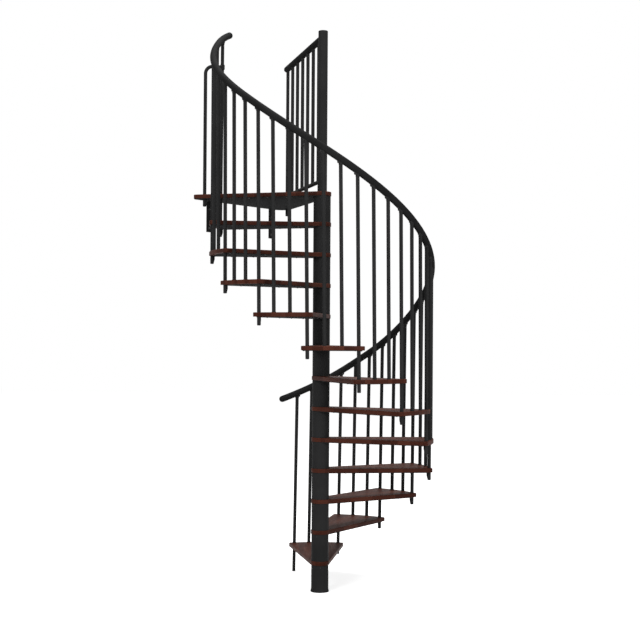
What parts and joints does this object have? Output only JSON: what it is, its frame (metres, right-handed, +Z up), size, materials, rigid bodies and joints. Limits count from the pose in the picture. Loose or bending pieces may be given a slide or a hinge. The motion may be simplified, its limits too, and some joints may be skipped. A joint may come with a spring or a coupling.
{
  "type": "spiral staircase",
  "caption": "Spiral staircase: timber treads on steel plates round a steel pole, tube balusters and helical handrail, triangular landing with a straight fence.",
  "frame": {"origin": "centre of the floor flange's underside, on the pole's axis, at floor level", "axes": "+Z up along the pole; +Y along the middle of the first tread, near enough (2 degrees short of it); the stair climbs clockwise seen from above"},
  "size_m": [1.7154, 1.7458, 4.0023],
  "materials": {
    "steel": "satin charcoal powder coat",
    "timber": "stained hardwood, satin lacquer"
  },
  "bodies": {
    "root": {"floor_flange": "steel", "centre_pole": "steel", "newel_cap": "steel", "column_spacers": "steel", "tread_01": "timber", "tread_02": "timber", "tread_03": "timber", "tread_04": "timber", "tread_05": "timber", "tread_06": "timber", "tread_07": "timber", "tread_08": "timber", "tread_09": "timber", "tread_10": "timber", "tread_11": "timber", "tread_12": "timber", "tread_plates": "steel", "landing_board": "timber", "landing_plate": "steel", "starting_baluster": "steel", "balusters_01": "steel", "balusters_02": "steel", "balusters_03": "steel", "balusters_04": "steel", "balusters_05": "steel", "balusters_06": "steel", "balusters_07": "steel", "balusters_08": "steel", "balusters_09": "steel", "balusters_10": "steel", "balusters_11": "steel", "balusters_12": "steel", "handrail_1": "steel", "handrail_2": "steel", "handrail_3": "steel", "handrail_4": "steel", "fence_top_rail": "steel", "fence_bottom_rail": "steel", "fence_balusters": "steel", "fence_end_post": "steel", "landing_guard": "steel", "slab_brackets": "steel"}
  },
  "joints": []
}
